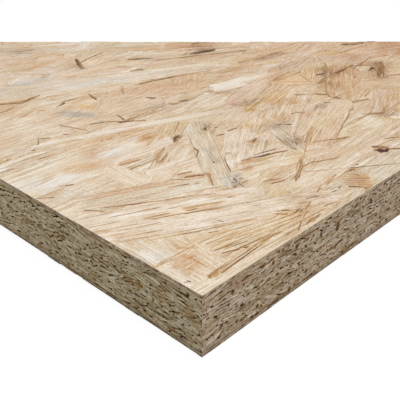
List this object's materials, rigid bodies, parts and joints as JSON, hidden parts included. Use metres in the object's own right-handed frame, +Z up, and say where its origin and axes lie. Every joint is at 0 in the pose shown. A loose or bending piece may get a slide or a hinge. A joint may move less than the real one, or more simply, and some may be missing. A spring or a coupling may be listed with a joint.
{
  "type": "oriented strand board panel",
  "caption": "Flat square-edged sheet of oriented strand board, pressed from wood strands and sawn to size, for sheathing, flooring and shelving.",
  "frame": {"origin": "centre of the underside", "axes": "+X along the length and the face strands, +Y along the width, +Z up through the thickness"},
  "size_m": [2.5, 1.25, 0.025],
  "materials": {
    "pressed_strands": "pressed and lightly sanded strands on the faces, greyer rough-sawn strand ends on the edges"
  },
  "bodies": {
    "root": {"osb_panel": "pressed_strands"}
  },
  "joints": []
}
